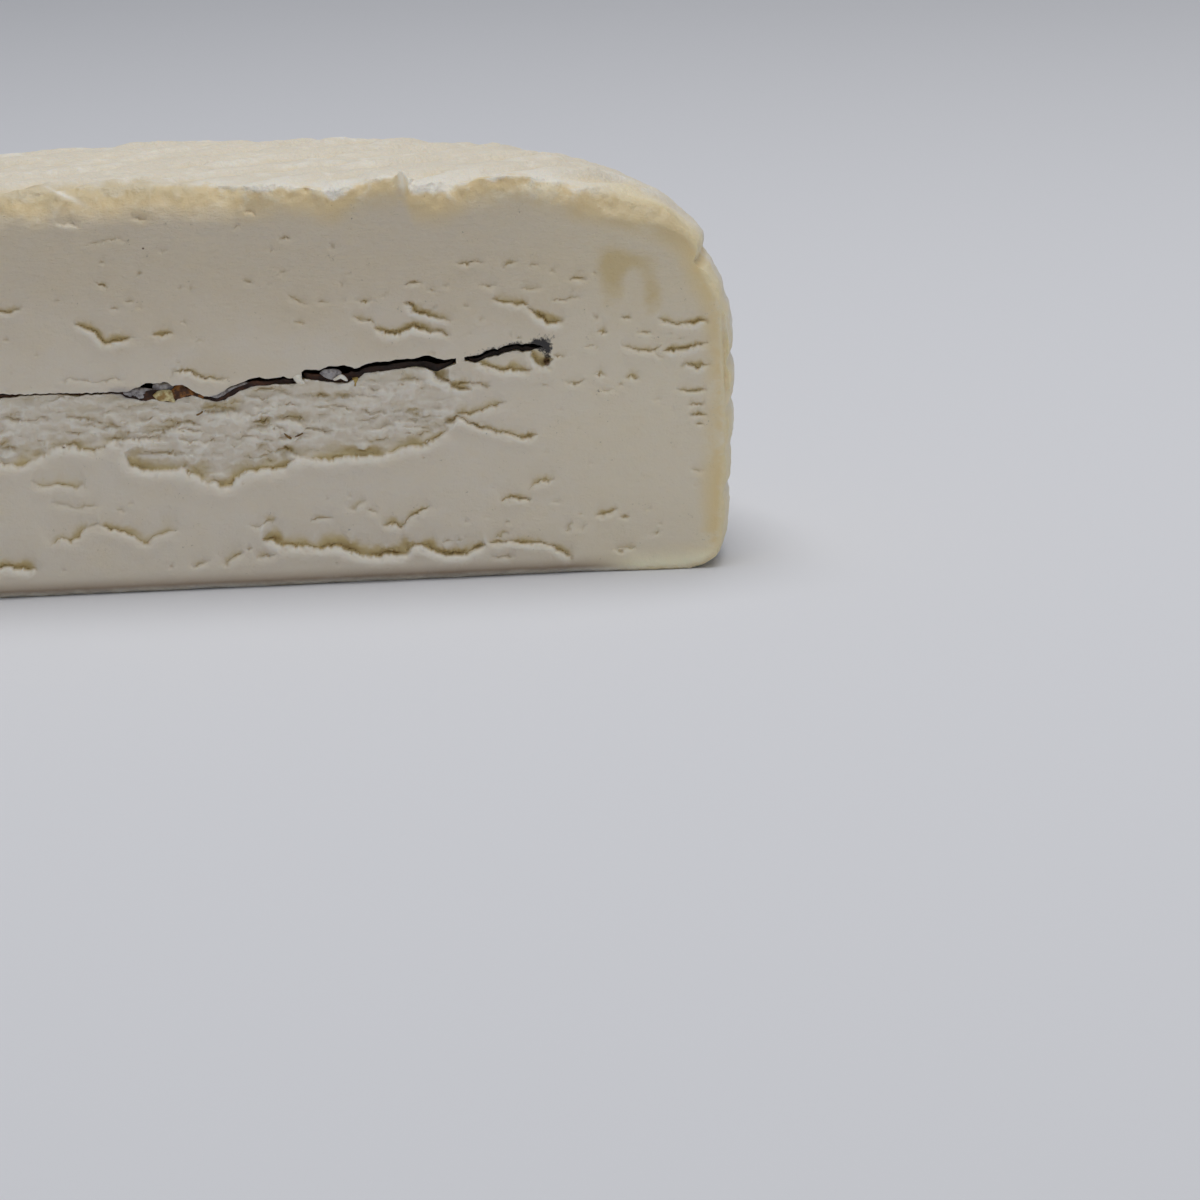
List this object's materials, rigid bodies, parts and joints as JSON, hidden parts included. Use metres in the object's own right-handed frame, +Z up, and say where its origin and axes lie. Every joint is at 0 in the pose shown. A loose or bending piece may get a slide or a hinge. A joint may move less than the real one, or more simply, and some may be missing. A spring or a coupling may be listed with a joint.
{
  "type": "leaf-layered goat cheese half",
  "caption": "Half of a round soft-ripened goat cheese standing on its underside, with a cracked white cut face, a ribbed rind and a thin brown leaf running through its middle.",
  "frame": {"origin": "middle of the half's plan box, at the level of the flat underside", "axes": "+X to the right along the cut face, +Y away from the cut face towards the round back, +Z up to the ridged top"},
  "size_m": [0.1144, 0.0664, 0.0411],
  "materials": {
    "cheese": "moist white paste with a cream-coloured mould rind, soft satin",
    "leaf": "dry brown leaf, matt, dark at its cut edge"
  },
  "bodies": {
    "root": {"cheese_half": "cheese", "leaf": "leaf"}
  },
  "joints": []
}
